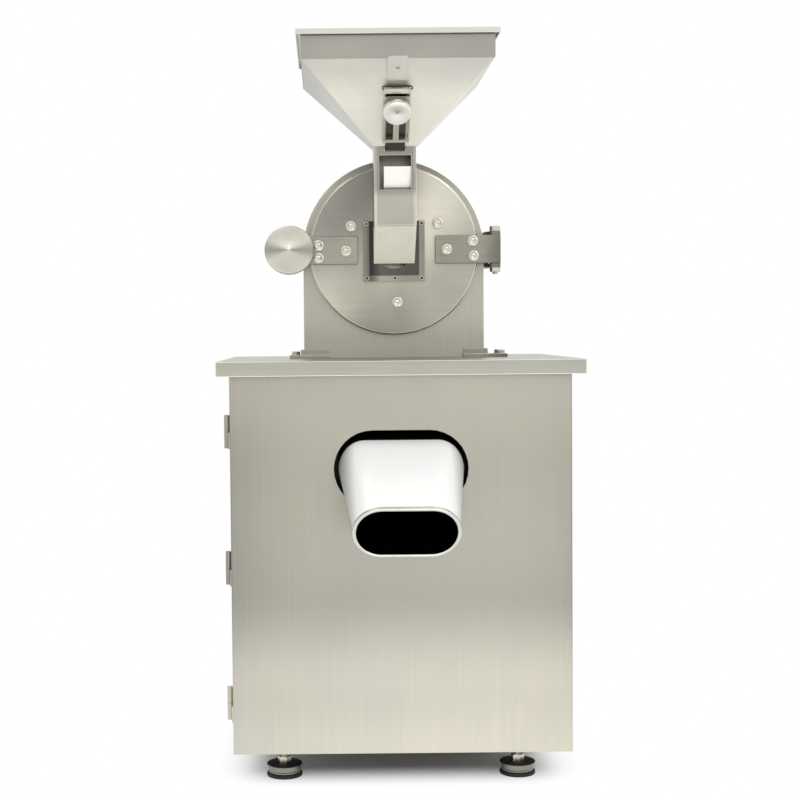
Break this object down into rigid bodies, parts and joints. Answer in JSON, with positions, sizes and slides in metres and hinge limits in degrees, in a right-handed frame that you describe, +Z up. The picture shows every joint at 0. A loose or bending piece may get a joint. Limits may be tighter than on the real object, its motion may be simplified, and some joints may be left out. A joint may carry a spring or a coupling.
{
  "type": "pin mill",
  "caption": "Pin mill on a stainless-steel cabinet, with a feed hopper on its hinged chamber door and a sloping oval discharge chute in front.",
  "frame": {"origin": "on the floor, under the middle of the outer box", "axes": "+Z up, -Y out of the front with the chute, +X to the right seen from the front"},
  "size_m": [0.616, 0.7195, 1.274],
  "materials": {
    "brushed_steel": "brushed",
    "turned_steel": "turned",
    "steel_frame": "machined",
    "motor_paint": "satin",
    "rubber": "matte",
    "black_plastic": "matte"
  },
  "bodies": {
    "mill": {"cabinet_frame": "steel_frame", "motor_rail_front": "steel_frame", "motor_rail_rear": "steel_frame", "cabinet_shell": "brushed_steel", "rear_panel": "brushed_steel", "cable_gland": "black_plastic", "tabletop": "brushed_steel", "mill_housing": "brushed_steel", "housing_foot_left": "brushed_steel", "housing_foot_right": "brushed_steel", "screen_ring": "turned_steel", "hinge_bracket": "brushed_steel", "hinge_pin": "turned_steel", "hinge_pin_nut": "turned_steel", "latch_lug": "brushed_steel", "discharge_chute": "brushed_steel", "bearing_housing": "steel_frame", "front_bearing": "turned_steel", "rear_bearing": "turned_steel", "bearing_cover": "steel_frame", "shaft_seal": "rubber", "drive_belt_1": "rubber", "drive_belt_2": "rubber", "motor_body": "motor_paint", "fan_cover": "motor_paint", "motor_plate": "steel_frame", "belt_guard": "brushed_steel"},
    "door": {"door_disc": "brushed_steel", "door_gasket": "rubber", "stator_pin_disc": "turned_steel", "hinge_strap": "brushed_steel", "latch_strap": "brushed_steel", "feed_flange": "brushed_steel", "feed_duct": "brushed_steel", "feed_baffle": "turned_steel", "hopper": "brushed_steel", "lid_hinge_pin": "turned_steel", "gate_guide": "brushed_steel"},
    "latch_travel": {"latch_washer": "turned_steel"},
    "latch_turn": {"latch_knob": "turned_steel"},
    "gate": {"gate_plate": "turned_steel"},
    "gate_screw": {"gate_knob": "turned_steel"},
    "lid": {"hopper_lid": "brushed_steel"},
    "rotor": {"rotor_pin_disc": "turned_steel", "rotor_nut": "turned_steel", "spindle": "steel_frame", "spindle_pulley": "steel_frame"},
    "motor_rotor": {"motor_shaft": "steel_frame", "motor_pulley": "steel_frame", "motor_fan": "black_plastic"},
    "service": {"service_door": "brushed_steel", "service_handle": "turned_steel"},
    "foot_front_left": {"foot_pad_front_left": "rubber", "foot_stud_front_left": "turned_steel"},
    "foot_front_right": {"foot_pad_front_right": "rubber", "foot_stud_front_right": "turned_steel"},
    "foot_rear_left": {"foot_pad_rear_left": "rubber", "foot_stud_rear_left": "turned_steel"},
    "foot_rear_right": {"foot_pad_rear_right": "rubber", "foot_stud_rear_right": "turned_steel"}
  },
  "joints": [
    {"name": "door_swing", "type": "hinge", "parent": "mill", "child": "door", "pos_m": [0.182, 0.04138, 0.918], "axis": [0, 0, 1], "range_deg": [0, 110]},
    {"name": "latch_travel", "type": "slide", "parent": "door", "child": "latch_travel", "axis": [0, -1, 0], "range_m": [0, 0.012]},
    {"name": "latch_turn", "type": "hinge", "parent": "latch_travel", "child": "latch_turn", "pos_m": [-0.188, 0.02958, 0.918], "axis": [0, -1, 0], "range_deg": [0, 1440]},
    {"name": "gate_slide", "type": "slide", "parent": "door", "child": "gate", "axis": [0, 0.7038, -0.7104], "range_m": [0, 0.05]},
    {"name": "gate_screw_turn", "type": "hinge", "parent": "door", "child": "gate_screw", "pos_m": [0, -0.10673, 1.15292], "axis": [0, -0.7104, -0.7038], "range_deg": [0, 720]},
    {"name": "lid_swing", "type": "hinge", "parent": "door", "child": "lid", "pos_m": [0, 0.18158, 1.26], "axis": [-1, 0, 0], "range_deg": [0, 100]},
    {"name": "rotor_spin", "type": "hinge", "parent": "mill", "child": "rotor", "pos_m": [0, 0.08538, 0.918], "axis": [0, 1, 0], "continuous": true},
    {"name": "motor_spin", "type": "hinge", "parent": "mill", "child": "motor_rotor", "pos_m": [0, 0.08538, 0.259], "axis": [0, 1, 0], "continuous": true},
    {"name": "service_door_swing", "type": "hinge", "parent": "mill", "child": "service", "pos_m": [-0.2928, -0.13662, 0], "axis": [0, 0, 1], "range_deg": [0, 110]},
    {"name": "foot_front_left_travel", "type": "slide", "parent": "mill", "child": "foot_front_left", "axis": [0, 0, -1], "range_m": [0, 0.012]},
    {"name": "foot_front_right_travel", "type": "slide", "parent": "mill", "child": "foot_front_right", "axis": [0, 0, -1], "range_m": [0, 0.012]},
    {"name": "foot_rear_left_travel", "type": "slide", "parent": "mill", "child": "foot_rear_left", "axis": [0, 0, -1], "range_m": [0, 0.012]},
    {"name": "foot_rear_right_travel", "type": "slide", "parent": "mill", "child": "foot_rear_right", "axis": [0, 0, -1], "range_m": [0, 0.012]}
  ],
  "couplings": [
    {"joint": "latch_travel", "follows": "latch_turn", "m_per_rad": 0.00047746},
    {"joint": "motor_spin", "follows": "rotor_spin", "ratio": 0.64789}
  ]
}
